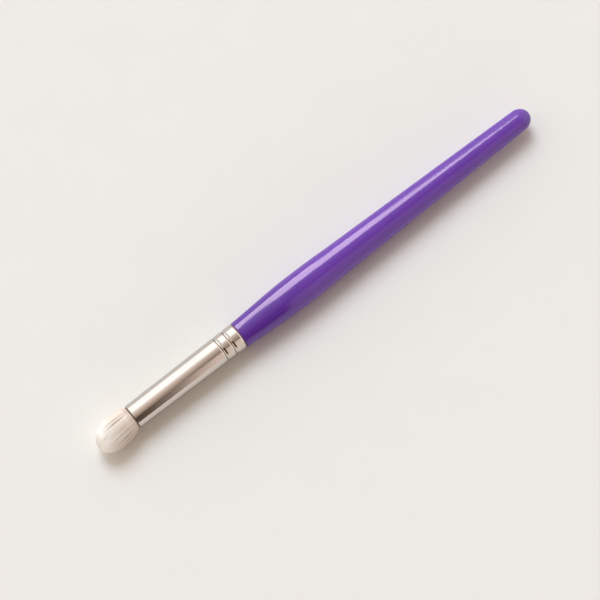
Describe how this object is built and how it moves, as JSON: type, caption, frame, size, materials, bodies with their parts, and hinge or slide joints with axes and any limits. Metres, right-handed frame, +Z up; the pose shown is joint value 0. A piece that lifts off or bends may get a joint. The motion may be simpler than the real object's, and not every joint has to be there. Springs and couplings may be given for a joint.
{
  "type": "smudger brush",
  "caption": "Slim make-up smudger brush with a domed tuft of pale hair, a crimped metal ferrule and a turned handle, lying on its side.",
  "frame": {"origin": "on the table under the middle of the brush: the centre of the bounding box's bottom", "axes": "+X along the brush from the hair towards the handle's tail, +Z up from the table, +Y across the brush"},
  "size_m": [0.1548, 0.0098, 0.0098],
  "materials": {
    "lacquer": "gloss",
    "nickel_plate": "satin",
    "hair": "matte",
    "thread": "matte",
    "resin": "gloss",
    "wood_glue": "matte"
  },
  "bodies": {
    "root": {"handle": "lacquer", "ferrule": "nickel_plate", "bristle_tuft": "hair", "binding_thread": "thread", "root_resin": "resin", "handle_glue": "wood_glue"}
  },
  "joints": []
}
